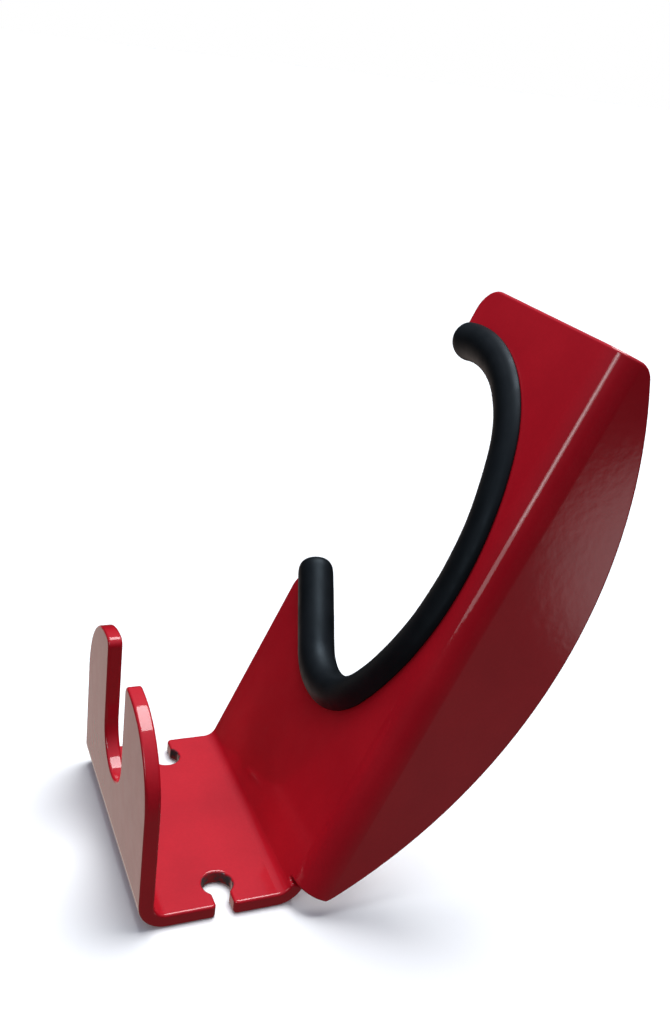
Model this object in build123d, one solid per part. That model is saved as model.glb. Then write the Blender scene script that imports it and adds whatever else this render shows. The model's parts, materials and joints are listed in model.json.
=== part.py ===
from build123d import *
import math
import os

# A bracket folded from one steel plate.  It hooks onto an upright pole through an
# open notch, whose edge wears a push-on rubber trim, and holds things in a raised fork.
#
# Frame, in millimetres: +Z is up, square to the tray; +X runs from the fork to the
# strip; +Y runs from the flanged side to the open side.  The origin is on the tray's
# underside, midway between the two keyholes.

# Plate
SHEET = 3.3                  # steel and its coat on both faces
EDGE_ROUND = 0.6             # the coat rounds every cut edge
SMOOTH_COSINE = 0.97         # faces that meet flatter than this share a smooth seam
FOLD_RADIUS = 3.0            # inside radius of every fold

# Tray
TRAY_WIDTH = 60.4
FORK_X = -19.0               # outer face of the fork
STRIP_X = 13.9               # where the tray's top face meets the strip's front face

# Keyholes in the tray's side edges
KEYHOLE_RADIUS = 3.4
KEYHOLE_Y = 23.4
KEYHOLE_NECK = 4.0
KEYHOLE_LIP = 1.0            # rounding of the neck's corners

# Fork
FORK_HEIGHT = 47.0
FORK_SHOULDER = 18.2         # radius of the prongs' outer corners
FORK_TIP = 2.0               # radius of the prongs' corners beside the slot
FORK_SLOT = 17.5
FORK_SLOT_Y = 1.0
FORK_SLOT_FLOOR = 17.5

# Strip, measured in its own plane: u runs up it from the fold, y is the frame's Y
STRIP_RISE = 67.4            # degrees between the tray and the strip
STRIP_LENGTH = 135.0
STRIP_FLAT_U = 2.4           # clear of the tray's fold, where the flange begins

# Pole notch, along the plate's edge from the open side round to the upper arm
LEG_TIP = (55.2, 27.9)
LEG_HEADING = -127.0         # degrees from +u
LEG_LENGTH = 23.7
NOTCH_ARCS = ((17.5, 94.7), (61.0, 59.7), (30.5, 79.7))   # radius, swept degrees
ARM_Y = 17.0                 # open end of the arm above the notch
ARM_TOP_CORNER = 6.0
ARM_NOTCH_CORNER = 3.0
LEG_CORNER = 5.0

# Flange
FLANGE_Y = -35.6             # outer face
FLANGE_DEPTH = 30.1          # deepest point of its crescent, from the strip's front
FLANGE_CREST_U = 70.0
FLANGE_ARC = 107.0
FLANGE_CORNER = 5.0
FLANGE_JOIN_Y = -20.0        # where the flange's fold hands over to the flat strip
RELIEF_WIDTH = 0.8           # slit that frees the flange's fold from the tray's fold
RELIEF_Y = -28.9             # centre of the slit's round inner end

# Edge trim, a round rubber tube slit by the plate, and the steel carrier inside it
TRIM_RADIUS = 4.5
TRIM_END = 3.0               # rounding of its two ends
CARRIER_SHEET = 0.6
CARRIER_GAP = 0.5            # rubber between the plate and the carrier
CARRIER_DEPTH = 3.0          # from the plate's edge to the ends of the carrier's legs
CARRIER_SETBACK = 5.0        # rubber beyond the carrier at each end of the trim

MARGIN = 4.0                 # how far the cutting solids run past what they cut

RISE = math.radians(STRIP_RISE)
STRIP_FRONT = Plane(
    origin=(STRIP_X, 0, SHEET),
    x_dir=(math.cos(RISE), 0, math.sin(RISE)),
    z_dir=(-math.sin(RISE), 0, math.cos(RISE)),
)
STRIP_MIDDLE = STRIP_FRONT.offset(-SHEET / 2)


def round_corners(sketch, corners):
    """Round the sketch's vertex nearest each point of {point: radius}."""
    for point, radius in corners.items():
        nearest = sketch.vertices().sort_by_distance(Vector(*point, 0))[0]
        sketch = fillet(nearest, radius)
    return sketch


def rectangle(low, high):
    """The rectangle between two opposite corners."""
    width = high[0] - low[0]
    height = high[1] - low[1]
    return Pos(low[0] + width / 2, low[1] + height / 2) * Rectangle(width, height)


def folded_band():
    """Fork, tray and strip as one straight-sided band, seen from the side and extruded."""
    inner_fork = (FORK_X + SHEET, SHEET)
    outer_fork = (FORK_X, 0)
    inner_strip = (STRIP_X, SHEET)
    outer_strip = (STRIP_X + SHEET * math.tan(RISE / 2), 0)
    top_front = STRIP_FRONT.from_local_coords((STRIP_LENGTH, 0, 0))
    top_back = STRIP_FRONT.from_local_coords((STRIP_LENGTH, 0, -SHEET))
    side = make_face(Polyline(
        (FORK_X, FORK_HEIGHT),
        outer_fork,
        outer_strip,
        (top_back.X, top_back.Z),
        (top_front.X, top_front.Z),
        inner_strip,
        inner_fork,
        (FORK_X + SHEET, FORK_HEIGHT),
        close=True,
    ))
    side = round_corners(side, {
        inner_fork: FOLD_RADIUS,
        outer_fork: FOLD_RADIUS + SHEET,
        inner_strip: FOLD_RADIUS,
        outer_strip: FOLD_RADIUS + SHEET,
    })
    return extrude(Plane.XZ * side, TRAY_WIDTH / 2, both=True)


def fork_waste():
    """What is cut away around the two prongs and out of the slot between them."""
    low = FOLD_RADIUS + SHEET + 1
    high = FORK_HEIGHT + MARGIN
    half = TRAY_WIDTH / 2
    slot_half = FORK_SLOT / 2
    slot_center = FORK_SLOT_FLOOR + slot_half
    outline = rectangle((-half, low), (half, FORK_HEIGHT))
    outline -= Pos(FORK_SLOT_Y, slot_center) * Circle(slot_half)
    outline -= rectangle((FORK_SLOT_Y - slot_half, slot_center), (FORK_SLOT_Y + slot_half, high))
    outline = round_corners(outline, {
        (-half, FORK_HEIGHT): FORK_SHOULDER,
        (half, FORK_HEIGHT): FORK_SHOULDER,
        (FORK_SLOT_Y - slot_half, FORK_HEIGHT): FORK_TIP,
        (FORK_SLOT_Y + slot_half, FORK_HEIGHT): FORK_TIP,
    })
    around = rectangle((-half - MARGIN, low), (half + MARGIN, high))
    fork_plane = Plane.YZ.offset(FORK_X - MARGIN)
    return extrude(fork_plane * (around - outline), SHEET + 2 * MARGIN)


def keyhole_waste():
    """The keyhole of the +Y edge: a round hole that opens through a narrow neck."""
    edge = TRAY_WIDTH / 2 - KEYHOLE_Y
    neck_half = KEYHOLE_NECK / 2
    mouth_half = neck_half + 2 * KEYHOLE_LIP
    meet = math.sqrt(KEYHOLE_RADIUS ** 2 - neck_half ** 2)
    shape = Circle(KEYHOLE_RADIUS)
    shape += rectangle((-neck_half, 0), (neck_half, edge + MARGIN))
    shape += rectangle((-mouth_half, edge), (mouth_half, edge + MARGIN))
    shape = round_corners(shape, {
        (-neck_half, meet): KEYHOLE_LIP,
        (neck_half, meet): KEYHOLE_LIP,
        (-neck_half, edge): KEYHOLE_LIP,
        (neck_half, edge): KEYHOLE_LIP,
    })
    return Pos(0, KEYHOLE_Y, -MARGIN) * extrude(shape, SHEET + 2 * MARGIN)


def notch_path():
    """The plate's edge round the notch, in the strip's plane: a straight leg, then arcs."""
    heading = Vector(1, 0).rotate(Axis.Z, LEG_HEADING)
    pieces = [Line(LEG_TIP, Vector(LEG_TIP) + heading * LEG_LENGTH)]
    for radius, swept_angle in NOTCH_ARCS:
        last = pieces[-1]
        pieces.append(JernArc(last @ 1, last % 1, radius, swept_angle))
    return pieces


def strip_waste():
    """What is cut away inside the notch and beyond the open end of the arm above it."""
    pieces = notch_path()
    arm_foot = pieces[-1] @ 1
    side_y = TRAY_WIDTH / 2
    beyond_y = side_y + MARGIN
    beyond_u = STRIP_LENGTH + MARGIN
    flanged_y = 2 * FLANGE_Y
    leg_lean = 1 / math.tan(math.radians(LEG_HEADING))
    leg_foot = (LEG_TIP[0] + (side_y - LEG_TIP[1]) * leg_lean, side_y)
    leg_beyond = (LEG_TIP[0] + (beyond_y - LEG_TIP[1]) * leg_lean, beyond_y)
    mouth = Polyline(
        arm_foot,
        (beyond_u, ARM_Y),
        (beyond_u, beyond_y),
        leg_beyond,
        LEG_TIP,
    )
    opening = make_face(Curve() + pieces + mouth)
    blank = rectangle((STRIP_FLAT_U, flanged_y), (STRIP_LENGTH, side_y))
    kept = round_corners(blank - opening, {
        (STRIP_LENGTH, ARM_Y): ARM_TOP_CORNER,
        (arm_foot.X, arm_foot.Y): ARM_NOTCH_CORNER,
        leg_foot: LEG_CORNER,
    })
    around = rectangle((STRIP_FLAT_U, flanged_y), (beyond_u, beyond_y))
    tool_plane = STRIP_FRONT.offset(-SHEET - MARGIN)
    return extrude(tool_plane * (around - kept), SHEET + 2 * MARGIN)


def flanged_side():
    """The side of the band that gives way to the flange and its fold."""
    side = rectangle((STRIP_FLAT_U, 2 * FLANGE_Y), (STRIP_LENGTH + MARGIN, FLANGE_JOIN_Y))
    return extrude(STRIP_FRONT.offset(-SHEET - MARGIN) * side, SHEET + 2 * MARGIN)


def flange():
    """The crescent flange, folded back from the strip's flanged side."""
    inner_y = FLANGE_Y + SHEET
    deep = -FLANGE_DEPTH - MARGIN
    section = make_face(Polyline(
        (FLANGE_JOIN_Y, 0),
        (FLANGE_Y, 0),
        (FLANGE_Y, deep),
        (inner_y, deep),
        (inner_y, -SHEET),
        (FLANGE_JOIN_Y, -SHEET),
        close=True,
    ))
    section = round_corners(section, {
        (FLANGE_Y, 0): FOLD_RADIUS + SHEET,
        (inner_y, -SHEET): FOLD_RADIUS,
    })
    across = Plane(
        origin=STRIP_FRONT.from_local_coords((STRIP_FLAT_U, 0, 0)),
        x_dir=(0, 1, 0),
        z_dir=STRIP_FRONT.x_dir,
    )
    angle = extrude(across * section, STRIP_LENGTH - STRIP_FLAT_U)
    return angle - crescent_waste(deep)


def crescent_waste(deep):
    """What is cut away outside the flange's curved edge, down to n = deep."""
    arc_center_n = FLANGE_ARC - FLANGE_DEPTH
    window = rectangle((STRIP_FLAT_U, deep), (STRIP_LENGTH, MARGIN))
    crescent = window & (Pos(FLANGE_CREST_U, arc_center_n) * Circle(FLANGE_ARC))
    corners = {}
    for end_u in (STRIP_FLAT_U, STRIP_LENGTH):
        drop = math.sqrt(FLANGE_ARC ** 2 - (end_u - FLANGE_CREST_U) ** 2)
        corners[(end_u, arc_center_n - drop)] = FLANGE_CORNER
    crescent = round_corners(crescent, corners)
    facing = Plane(
        origin=STRIP_FRONT.from_local_coords((0, FLANGE_Y - MARGIN, 0)),
        x_dir=STRIP_FRONT.x_dir,
        z_dir=(0, 1, 0),
    )
    # The facing plane's y runs along -n, so the outline is turned over.
    outline = mirror(window - crescent, Plane.XZ)
    return extrude(facing * outline, SHEET + FOLD_RADIUS + 2 * MARGIN)


def relief_waste():
    """The slit, round at its inner end, that parts the flange's fold from the tray's."""
    half = RELIEF_WIDTH / 2
    slit = rectangle((-half, 2 * FLANGE_Y), (half, RELIEF_Y)) + Pos(0, RELIEF_Y) * Circle(half)
    tool_plane = STRIP_FRONT.offset(-FLANGE_DEPTH)
    return extrude(tool_plane * Pos(STRIP_FLAT_U + half, 0) * slit, FLANGE_DEPTH + MARGIN)


def cut_edges(plate):
    """The plate's sharp edges, which are the ones where two faces meet at a clear angle."""
    faces = plate.faces()
    sharp = []
    for edge in plate.edges():
        beside = [face for face in faces if any(edge.is_same(side) for side in face.edges())]
        first, second = [face.normal_at(edge @ 0.5) for face in beside]
        if first.dot(second) < SMOOTH_COSINE:
            sharp.append(edge)
    return sharp


def bracket_plate():
    """The whole folded plate, with its cut edges rounded by the coat."""
    keyhole = keyhole_waste()
    plate = folded_band() - fork_waste() - keyhole - mirror(keyhole, Plane.XZ)
    plate = plate - flanged_side() + flange() - strip_waste() - relief_waste()
    return plate.fillet(EDGE_ROUND, cut_edges(plate))


def swept(section, setback=0):
    """Sweep a section round the notch; its x lies in the plate, out of the notch."""
    spine = STRIP_MIDDLE * Wire(notch_path())
    share = setback / spine.length
    spine = spine.trim(share, 1 - share)
    start = Plane(
        origin=spine @ 0,
        x_dir=(spine % 0).cross(STRIP_MIDDLE.z_dir),
        z_dir=spine % 0,
    )
    return sweep(start * section, path=spine)


def trim_carrier():
    """The steel channel inside the rubber that straddles the plate's edge and grips it."""
    gap_half = SHEET / 2 + CARRIER_GAP
    outer_half = gap_half + CARRIER_SHEET
    outer = rectangle((-CARRIER_GAP - CARRIER_SHEET, -outer_half), (CARRIER_DEPTH, outer_half))
    inner = rectangle((-CARRIER_GAP, -gap_half), (CARRIER_DEPTH, gap_half))
    return swept(outer - inner, CARRIER_SETBACK)


def edge_trim(plate, carrier):
    """Round rubber trim with domed ends, slotted for the plate's edge and the carrier."""
    tube = swept(Circle(TRIM_RADIUS))
    ends = tube.faces().filter_by(GeomType.PLANE)
    tube = tube.fillet(TRIM_END, ends.edges())
    return tube - plate - carrier


def main():
    os.makedirs("parts", exist_ok=True)
    plate = bracket_plate()
    carrier = trim_carrier()
    nodes = {
        "bracket_plate": plate,
        "edge_trim": edge_trim(plate, carrier),
        "trim_carrier": carrier,
    }
    for name, solid in nodes.items():
        export_step(solid, f"parts/{name}.step")


if __name__ == "__main__":
    main()
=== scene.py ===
import json
import math

import bmesh
import bpy
from mathutils import Euler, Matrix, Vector, noise


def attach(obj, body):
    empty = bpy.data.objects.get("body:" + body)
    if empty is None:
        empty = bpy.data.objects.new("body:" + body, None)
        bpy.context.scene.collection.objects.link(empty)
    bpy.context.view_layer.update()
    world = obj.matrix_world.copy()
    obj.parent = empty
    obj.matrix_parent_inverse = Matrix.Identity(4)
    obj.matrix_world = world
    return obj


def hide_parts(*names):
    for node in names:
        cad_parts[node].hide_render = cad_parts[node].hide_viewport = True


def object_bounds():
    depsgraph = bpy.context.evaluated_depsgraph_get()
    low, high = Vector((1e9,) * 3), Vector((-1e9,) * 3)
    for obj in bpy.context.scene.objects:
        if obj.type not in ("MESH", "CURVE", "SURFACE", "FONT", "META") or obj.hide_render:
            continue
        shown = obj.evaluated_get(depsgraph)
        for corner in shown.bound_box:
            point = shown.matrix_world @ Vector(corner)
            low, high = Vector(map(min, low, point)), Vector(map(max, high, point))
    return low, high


# A red powder-coated plate bracket with a black rubber edge trim.  Everything is in
# metres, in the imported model's frame: +Z is up, square to the bracket's tray, +X runs
# from the fork to the strip and +Y from the flanged side to the open side.

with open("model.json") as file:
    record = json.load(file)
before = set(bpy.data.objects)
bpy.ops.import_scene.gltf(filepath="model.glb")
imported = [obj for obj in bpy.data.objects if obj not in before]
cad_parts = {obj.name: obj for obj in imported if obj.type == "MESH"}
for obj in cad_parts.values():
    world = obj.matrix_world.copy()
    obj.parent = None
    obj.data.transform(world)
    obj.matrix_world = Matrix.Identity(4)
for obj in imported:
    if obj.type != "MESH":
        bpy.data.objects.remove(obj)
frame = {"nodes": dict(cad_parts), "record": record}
cad_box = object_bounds()
MM = 0.001

# The strip and the notch in it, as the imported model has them
SHEET = 3.3 * MM
STRIP_X = 13.9 * MM                  # where the tray's top meets the strip's front
STRIP_RISE = math.radians(67.4)
LEG_TIP = (55.2 * MM, 27.9 * MM)     # in the strip's plane: up the strip, then Y
LEG_HEADING = math.radians(-127.0)
LEG_LENGTH = 23.7 * MM
NOTCH_ARCS = ((17.5 * MM, 94.7), (61.0 * MM, 59.7), (30.5 * MM, 79.7))  # radius, degrees

# Rubber trim
TRIM_RADIUS = 4.5 * MM
TRIM_STEP = 0.9 * MM                 # between two rings of the trim's mesh
TRIM_END_LENGTH = 3.0 * MM           # length over which each end is rounded off
TRIM_END_RADIUS = 2.8 * MM           # radius left at the flat of each end
TRIM_LIP = 0.45 * MM                 # rounding of the lips that press on the plate
TRIM_WANDER = 0.07 * MM              # how far the soft tube strays from round
TRIM_WANDER_SIZE = 7 * MM            # how long each stray is
TRIM_END_RINGS = 9
TRIM_SHARP_ANGLE = math.radians(50)  # its edges sharper than this stay crisp
ARC_POINTS = 40
LIP_POINTS = 5

# How far the thin, dark coat reaches out from a keyhole's wall, and then fades
THIN_COAT_REACH = 0.05 * MM
THIN_COAT_FADE = 0.35 * MM

FLOOR_HALF = 6.0

# Camera
CAMERA_PLACE = (-0.0660, -0.2015, 0.1755)
CAMERA_TURN = (66.67, -6.98, -21.82)  # Euler angles in degrees
CAMERA_LENS = 38.8
CAMERA_SENSOR = 36                   # height of the sensor, in millimetres like the lens
CAMERA_NEAR = 0.01

# Light
DAYLIGHT = (0.96, 0.98, 1.0)
OVERHEAD_FROM = (0.25, 0.20, 1.0)
OVERHEAD_STRENGTH = 3.3
OVERHEAD_SPREAD = math.radians(38)
# Azimuth and elevation of each glow, the angles from it where the glow starts and
# stops falling off, all in degrees, and its colour
SKY_GLOWS = (
    (0, 90, 25, 85, (0.26, 0.30, 0.38)),  # ceiling
    (0, -90, 30, 88, (0.15, 0.13, 0.12)),  # ground
    (103, -36, 16, 34, (0.54, 0.44, 0.40)),  # mirrored by the outer face of the fork
    (-46, -23, 3, 7.5, (1.3, 1.2, 1.2)),  # mirrored by the flange
    (-53, -29, 5, 16, (0.10, 0.09, 0.09)),  # soft surround of the one above
)
STUDIO_TARGET = (0.03, 0.0, 0.05)
STRIP_TOP = (0.06, 0.0, 0.12)
# Name, place, target, size, power in watts, and whether glossy surfaces mirror it.
# The core brightens the middle of the left box, for the highlight on the flange's fold.
SOFT_BOXES = (
    ("left_box", (-0.75, -0.45, 0.45), STUDIO_TARGET, (0.26, 0.6), 1.05, True),
    ("left_core", (-0.74, -0.44, 0.44), STUDIO_TARGET, (0.11, 0.34), 0.45, True),
    ("front_box", (0.10, -0.80, 0.12), STUDIO_TARGET, (0.5, 0.5), 0.9, False),
    ("back_box", (0.78, 0.25, 0.16), STUDIO_TARGET, (0.5, 0.5), 1.5, False),
    ("top_box", (-0.02, 0.03, 0.24), STRIP_TOP, (0.10, 0.10), 0.08, False),
)

STRIP_UP = Vector((math.cos(STRIP_RISE), 0, math.sin(STRIP_RISE)))
STRIP_OUT = Vector((-math.sin(STRIP_RISE), 0, math.cos(STRIP_RISE)))
STRIP_ORIGIN = Vector((STRIP_X, 0, SHEET)) - STRIP_OUT * (SHEET / 2)


class Shader:
    """A material's node tree, with one short call for each kind of node."""

    def __init__(self, name):
        self.material = bpy.data.materials.new(name)
        self.material.use_nodes = True
        self.tree = self.material.node_tree
        self.surface = self.tree.nodes["Principled BSDF"]
        self.place = self.tree.nodes.new("ShaderNodeTexCoord").outputs["Object"]

    def link(self, source, target):
        self.tree.links.new(source, target)

    def set(self, **values):
        """Set sockets of the Principled shader, with _ for the spaces in their names."""
        for name, value in values.items():
            self.surface.inputs[name.replace("_", " ")].default_value = value

    def noise(self, size, detail=3.0, roughness=0.5, stretch=(1, 1, 1)):
        """Noise from 0 to 1 whose features are about size metres across."""
        mapping = self.tree.nodes.new("ShaderNodeMapping")
        mapping.inputs["Scale"].default_value = stretch
        self.link(self.place, mapping.inputs["Vector"])
        node = self.tree.nodes.new("ShaderNodeTexNoise")
        node.inputs["Scale"].default_value = 1 / size
        node.inputs["Detail"].default_value = detail
        node.inputs["Roughness"].default_value = roughness
        self.link(mapping.outputs["Vector"], node.inputs["Vector"])
        return node.outputs["Fac"]

    def range(self, source, low, high, out_low=0.0, out_high=1.0):
        """Map low..high to out_low..out_high, smoothly and clamped."""
        node = self.tree.nodes.new("ShaderNodeMapRange")
        node.interpolation_type = "SMOOTHSTEP"
        node.inputs["From Min"].default_value = low
        node.inputs["From Max"].default_value = high
        node.inputs["To Min"].default_value = out_low
        node.inputs["To Max"].default_value = out_high
        self.link(source, node.inputs["Value"])
        return node.outputs["Result"]

    def math(self, operation, first, second):
        """One Math node; each input is a socket or a number."""
        node = self.tree.nodes.new("ShaderNodeMath")
        node.operation = operation
        for socket, value in zip(node.inputs, (first, second)):
            if isinstance(value, (int, float)):
                socket.default_value = value
            else:
                self.link(value, socket)
        return node.outputs["Value"]

    def mix(self, factor, first, second):
        """Mix two colours; each is a socket or an RGB triple."""
        node = self.tree.nodes.new("ShaderNodeMix")
        node.data_type = "RGBA"
        self.link(factor, node.inputs["Factor"])
        for socket, value in zip((node.inputs["A"], node.inputs["B"]), (first, second)):
            if isinstance(value, tuple):
                socket.default_value = (*value, 1)
            else:
                self.link(value, socket)
        return node.outputs["Result"]

    def bump(self, height, depth, below=None):
        """A bump of the given depth in metres, on top of another bump if one is given."""
        node = self.tree.nodes.new("ShaderNodeBump")
        node.inputs["Distance"].default_value = depth
        self.link(height, node.inputs["Height"])
        if below is not None:
            self.link(below, node.inputs["Normal"])
        return node.outputs["Normal"]


def near_axis(shader, place, reach, fade):
    """1 within reach of the vertical axis through a place, falling to 0 over the fade."""
    offset = shader.tree.nodes.new("ShaderNodeVectorMath")
    offset.operation = "SUBTRACT"
    shader.link(shader.place, offset.inputs[0])
    offset.inputs[1].default_value = place
    flat = shader.tree.nodes.new("ShaderNodeVectorMath")
    flat.operation = "MULTIPLY"
    flat.inputs[1].default_value = (1, 1, 0)
    shader.link(offset.outputs["Vector"], flat.inputs[0])
    length = shader.tree.nodes.new("ShaderNodeVectorMath")
    length.operation = "LENGTH"
    shader.link(flat.outputs["Vector"], length.inputs[0])
    return shader.range(length.outputs["Value"], reach, reach + fade, 1.0, 0.0)


def coated_steel():
    """Glossy red powder coat with a fine orange peel, thin and dark in the keyholes."""
    shader = Shader("coated_steel")
    cloud = shader.range(shader.noise(0.018, 4.0), 0.3, 0.7)
    speckle = shader.range(shader.noise(0.0007, 2.0), 0.35, 0.65)
    red = shader.mix(cloud, (0.45, 0.006, 0.016), (0.51, 0.008, 0.019))
    red = shader.mix(shader.math("MULTIPLY", speckle, 0.12), red, (0.32, 0.004, 0.011))
    thin = None
    for mount in frame["record"]["mounts"]:
        if mount["kind"] == "bore":
            reach = mount["dims"]["r_mm"] * MM + THIN_COAT_REACH
            mask = near_axis(shader, mount["pos_m"], reach, THIN_COAT_FADE)
            thin = mask if thin is None else shader.math("MAXIMUM", thin, mask)
    patchy = shader.range(shader.noise(0.0016, 3.0), 0.30, 0.62)
    bare = shader.math("MULTIPLY", thin, patchy)
    colour = shader.mix(bare, red, (0.055, 0.050, 0.058))
    shader.link(colour, shader.surface.inputs["Base Color"])
    roughness = shader.range(shader.noise(0.006, 4.0), 0.3, 0.7, 0.50, 0.60)
    shader.link(roughness, shader.surface.inputs["Roughness"])
    peel = shader.bump(shader.noise(0.0024, 2.0), 0.013 * MM)
    grain = shader.bump(shader.noise(0.0005, 2.0), 0.0015 * MM, below=peel)
    shader.link(grain, shader.surface.inputs["Normal"])
    shader.link(peel, shader.surface.inputs["Coat Normal"])
    shader.set(Specular_IOR_Level=0.1, Coat_Weight=1.0, Coat_Roughness=0.07, Coat_IOR=1.5)
    return shader.material


def black_rubber():
    """Satin black extruded rubber: fine grain and a little dust."""
    shader = Shader("black_rubber")
    cloud = shader.range(shader.noise(0.012, 4.0), 0.35, 0.7)
    dust = shader.range(shader.noise(0.0009, 5.0, 0.7), 0.60, 0.80)
    black = shader.mix(cloud, (0.0035, 0.0042, 0.0050), (0.0065, 0.0075, 0.0090))
    black = shader.mix(shader.math("MULTIPLY", dust, 0.25), black, (0.03, 0.033, 0.036))
    shader.link(black, shader.surface.inputs["Base Color"])
    roughness = shader.range(shader.noise(0.004, 4.0), 0.3, 0.7, 0.42, 0.54)
    shader.link(roughness, shader.surface.inputs["Roughness"])
    grain = shader.bump(shader.noise(0.0004, 3.0, 0.6), 0.004 * MM)
    shader.link(grain, shader.surface.inputs["Normal"])
    # The bluish specular tint is a painted reflection: it gives every highlight on the rubber
    # the blue of a skylight, whatever lamp lights it.
    shader.set(Specular_IOR_Level=0.22, Specular_Tint=(0.66, 0.85, 1.0, 1.0))
    return shader.material


def spring_steel():
    """Bright drawn steel with fine lines along the strip."""
    shader = Shader("spring_steel")
    lines = shader.noise(0.0006, 4.0, stretch=(1, 1, 0.1))
    steel = shader.mix(lines, (0.38, 0.38, 0.39), (0.56, 0.56, 0.57))
    shader.link(steel, shader.surface.inputs["Base Color"])
    roughness = shader.range(lines, 0.3, 0.7, 0.28, 0.42)
    shader.link(roughness, shader.surface.inputs["Roughness"])
    shader.link(shader.bump(lines, 0.003 * MM), shader.surface.inputs["Normal"])
    shader.set(Metallic=1.0)
    return shader.material


def floor_paper():
    """Matt white paper."""
    shader = Shader("floor_paper")
    tone = shader.range(shader.noise(0.4, 2.0), 0.3, 0.7)
    shader.link(shader.mix(tone, (0.92, 0.92, 0.92), (0.94, 0.94, 0.94)),
                shader.surface.inputs["Base Color"])
    shader.set(Roughness=0.9, Specular_IOR_Level=0.2)
    return shader.material


def give_material(piece, material):
    piece.data.materials.clear()
    piece.data.materials.append(material)


def notch_point(distance):
    """Where the plate's edge round the notch is at a distance along it, and its heading."""
    place = Vector(LEG_TIP)
    heading = LEG_HEADING
    run = min(distance, LEG_LENGTH)
    place += run * Vector((math.cos(heading), math.sin(heading)))
    left = distance - run
    for radius, degrees in NOTCH_ARCS:
        length = radius * math.radians(degrees)
        turn = min(left, length) / radius
        side = Vector((-math.sin(heading), math.cos(heading)))
        centre = place + side * radius
        heading += turn
        side = Vector((-math.sin(heading), math.cos(heading)))
        place = centre - side * radius
        left = max(left - length, 0.0)
    return place, heading


def trim_section(radius):
    """The trim's outline, open where it grips the plate, as (into the notch, off the plate)."""
    half = SHEET / 2
    lip_off = half + TRIM_LIP
    lip_back = -math.sqrt((radius - TRIM_LIP) ** 2 - lip_off ** 2)
    mouth = math.atan2(lip_off, lip_back)
    outline = []
    for i in range(ARC_POINTS + 1):
        angle = mouth * (1 - 2 * i / ARC_POINTS)
        outline.append((radius * math.cos(angle), radius * math.sin(angle)))
    lip = []
    for i in range(1, LIP_POINTS + 1):
        angle = -mouth - (math.pi * 1.5 - mouth) * i / LIP_POINTS
        across = lip_back + TRIM_LIP * math.cos(angle)
        lip.append((across, -lip_off + TRIM_LIP * math.sin(angle)))
    facing_lip = [(across, -off) for across, off in reversed(lip)]
    return outline + lip + [(0.0, -half), (0.0, half)] + facing_lip


def trim_radius(distance, length):
    """The trim's radius at a distance along it, rounded off at both ends."""
    from_end = min(distance, length - distance)
    if from_end >= TRIM_END_LENGTH:
        return TRIM_RADIUS
    share = 1 - from_end / TRIM_END_LENGTH
    drop = 1 - math.sqrt(max(0.0, 1 - share * share))
    return TRIM_RADIUS - (TRIM_RADIUS - TRIM_END_RADIUS) * drop


def trim_distances(length):
    """Places of the rings along the trim, close together over its rounded ends."""
    ends = [TRIM_END_LENGTH * (1 - math.cos(math.pi / 2 * i / TRIM_END_RINGS))
            for i in range(TRIM_END_RINGS)]
    middle = length - 2 * TRIM_END_LENGTH
    count = round(middle / TRIM_STEP)
    inner = [TRIM_END_LENGTH + middle * i / count for i in range(count + 1)]
    return ends + inner + [length - d for d in reversed(ends)]


def rubber_trim():
    """The push-on trim: a soft round tube, slit by the plate, with a lip on each face."""
    length = LEG_LENGTH + sum(r * math.radians(d) for r, d in NOTCH_ARCS)
    mesh = bmesh.new()
    rings = []
    for distance in trim_distances(length):
        place, heading = notch_point(distance)
        centre = STRIP_ORIGIN + STRIP_UP * place.x + Vector((0, place.y, 0))
        into = STRIP_UP * -math.sin(heading) + Vector((0, math.cos(heading), 0))
        ring = []
        for across, off in trim_section(trim_radius(distance, length)):
            outward = into * across + STRIP_OUT * off
            point = centre + outward
            # Only the free part of the tube strays, and only inward, not the lips' grip.
            if across > 0.0 or abs(off) > SHEET:
                stray = noise.noise(point / TRIM_WANDER_SIZE) * TRIM_WANDER
                point += outward.normalized() * (stray - TRIM_WANDER)
            ring.append(mesh.verts.new(point))
        rings.append(ring)
    count = len(rings[0])
    for ring, following in zip(rings, rings[1:]):
        for i in range(count):
            j = (i + 1) % count
            mesh.faces.new((ring[i], ring[j], following[j], following[i]))
    mesh.faces.new(rings[0])
    mesh.faces.new(list(reversed(rings[-1])))
    bmesh.ops.recalc_face_normals(mesh, faces=mesh.faces)
    data = bpy.data.meshes.new("rubber_trim")
    mesh.to_mesh(data)
    mesh.free()
    data.shade_smooth()
    data.set_sharp_from_angle(angle=TRIM_SHARP_ANGLE)
    piece = bpy.data.objects.new("rubber_trim", data)
    bpy.context.scene.collection.objects.link(piece)
    return piece


def floor():
    """A large pale floor under the tray."""
    mesh = bmesh.new()
    bmesh.ops.create_grid(mesh, x_segments=8, y_segments=8, size=FLOOR_HALF)
    data = bpy.data.meshes.new("floor")
    mesh.to_mesh(data)
    mesh.free()
    piece = bpy.data.objects.new("floor", data)
    piece.location = (0, 0, cad_box[0][2])
    piece.visible_glossy = False
    piece.visible_diffuse = False
    bpy.context.scene.collection.objects.link(piece)
    return piece


def area_light(name, place, target, size, power, mirrored):
    """A rectangular soft box that faces a target, and shows in glossy surfaces if mirrored."""
    data = bpy.data.lights.new(name, "AREA")
    data.shape = "RECTANGLE"
    data.size, data.size_y = size
    data.energy = power
    data.color = DAYLIGHT
    light = bpy.data.objects.new(name, data)
    light.location = place
    aim = Vector(target) - Vector(place)
    light.rotation_euler = aim.to_track_quat("-Z", "Y").to_euler()
    light.visible_camera = False
    light.visible_glossy = mirrored
    bpy.context.scene.collection.objects.link(light)


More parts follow.
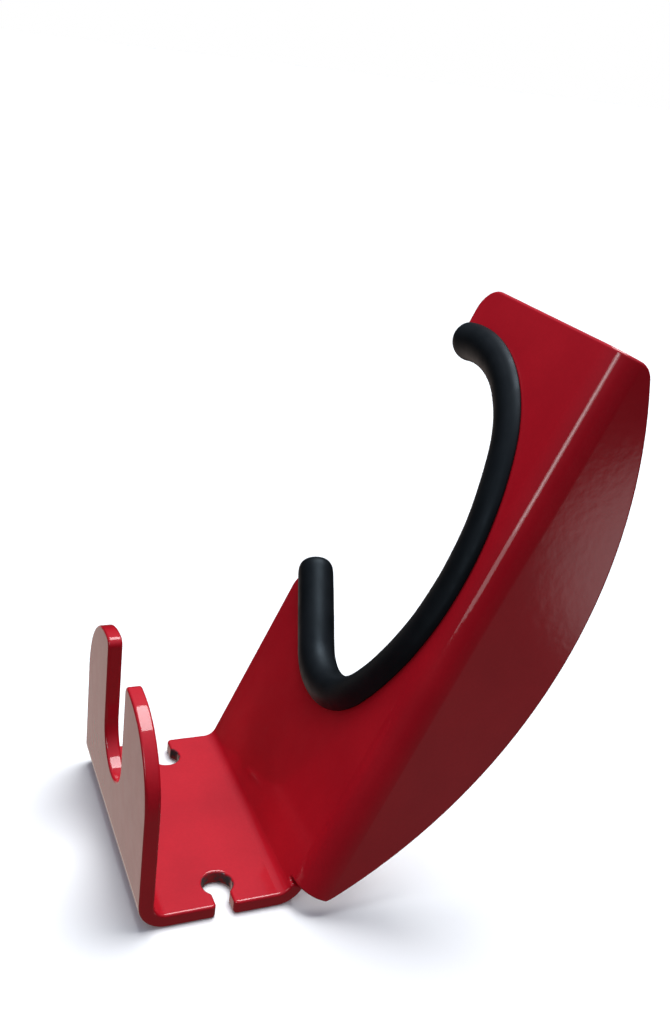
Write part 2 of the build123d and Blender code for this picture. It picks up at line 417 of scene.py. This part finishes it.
def overhead_light():
    """A wide soft light from above that falls off nowhere, so that the floor is even."""
    data = bpy.data.lights.new("overhead", "SUN")
    data.energy = OVERHEAD_STRENGTH
    data.angle = OVERHEAD_SPREAD
    data.color = DAYLIGHT
    light = bpy.data.objects.new("overhead", data)
    light.rotation_euler = (-Vector(OVERHEAD_FROM)).to_track_quat("-Z", "Y").to_euler()
    bpy.context.scene.collection.objects.link(light)


def glow(tree, direction, azimuth, elevation, inner, outer, colour):
    """Light from one part of the sky: full within the inner angle, none past the outer."""
    flat = math.cos(math.radians(elevation))
    toward = (
        flat * math.cos(math.radians(azimuth)),
        flat * math.sin(math.radians(azimuth)),
        math.sin(math.radians(elevation)),
    )
    dot = tree.nodes.new("ShaderNodeVectorMath")
    dot.operation = "DOT_PRODUCT"
    dot.inputs[1].default_value = toward
    tree.links.new(direction, dot.inputs[0])
    fall = tree.nodes.new("ShaderNodeMapRange")
    fall.interpolation_type = "SMOOTHSTEP"
    fall.inputs["From Min"].default_value = math.cos(math.radians(outer))
    fall.inputs["From Max"].default_value = math.cos(math.radians(inner))
    tree.links.new(dot.outputs["Value"], fall.inputs["Value"])
    tint = tree.nodes.new("ShaderNodeVectorMath")
    tint.operation = "SCALE"
    tint.inputs[0].default_value = colour
    tree.links.new(fall.outputs["Result"], tint.inputs["Scale"])
    return tint.outputs["Vector"]


def studio_sky():
    """The studio's walls and ceiling: dim, with a few soft glows, and white to the eye."""
    world = bpy.data.worlds.new("studio")
    bpy.context.scene.world = world
    world.use_nodes = True
    tree = world.node_tree
    direction = tree.nodes.new("ShaderNodeTexCoord").outputs["Generated"]
    total = None
    for one_glow in SKY_GLOWS:
        light = glow(tree, direction, *one_glow)
        if total is None:
            total = light
            continue
        both = tree.nodes.new("ShaderNodeVectorMath")
        tree.links.new(total, both.inputs[0])
        tree.links.new(light, both.inputs[1])
        total = both.outputs["Vector"]
    ray = tree.nodes.new("ShaderNodeLightPath")
    seen = tree.nodes.new("ShaderNodeMix")
    seen.data_type = "RGBA"
    seen.inputs["B"].default_value = (1, 1, 1, 1)
    tree.links.new(ray.outputs["Is Camera Ray"], seen.inputs["Factor"])
    tree.links.new(total, seen.inputs["A"])
    tree.links.new(seen.outputs["Result"], tree.nodes["Background"].inputs["Color"])


def studio():
    """All of the light: the overhead, the soft boxes and the sky."""
    overhead_light()
    for soft_box in SOFT_BOXES:
        area_light(*soft_box)
    studio_sky()


def camera():
    data = bpy.data.cameras.new("camera")
    data.lens = CAMERA_LENS
    data.sensor_fit = "VERTICAL"
    data.sensor_height = CAMERA_SENSOR
    data.clip_start = CAMERA_NEAR
    piece = bpy.data.objects.new("camera", data)
    piece.location = CAMERA_PLACE
    piece.rotation_euler = Euler([math.radians(a) for a in CAMERA_TURN])
    bpy.context.scene.collection.objects.link(piece)
    bpy.context.scene.camera = piece


give_material(frame["nodes"]["bracket_plate"], coated_steel())
give_material(frame["nodes"]["trim_carrier"], spring_steel())

trim = rubber_trim()
give_material(trim, black_rubber())
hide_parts("edge_trim")
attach(trim, "root")

ground = floor()
give_material(ground, floor_paper())

studio()
camera()
bpy.context.scene.view_settings.view_transform = "Standard"
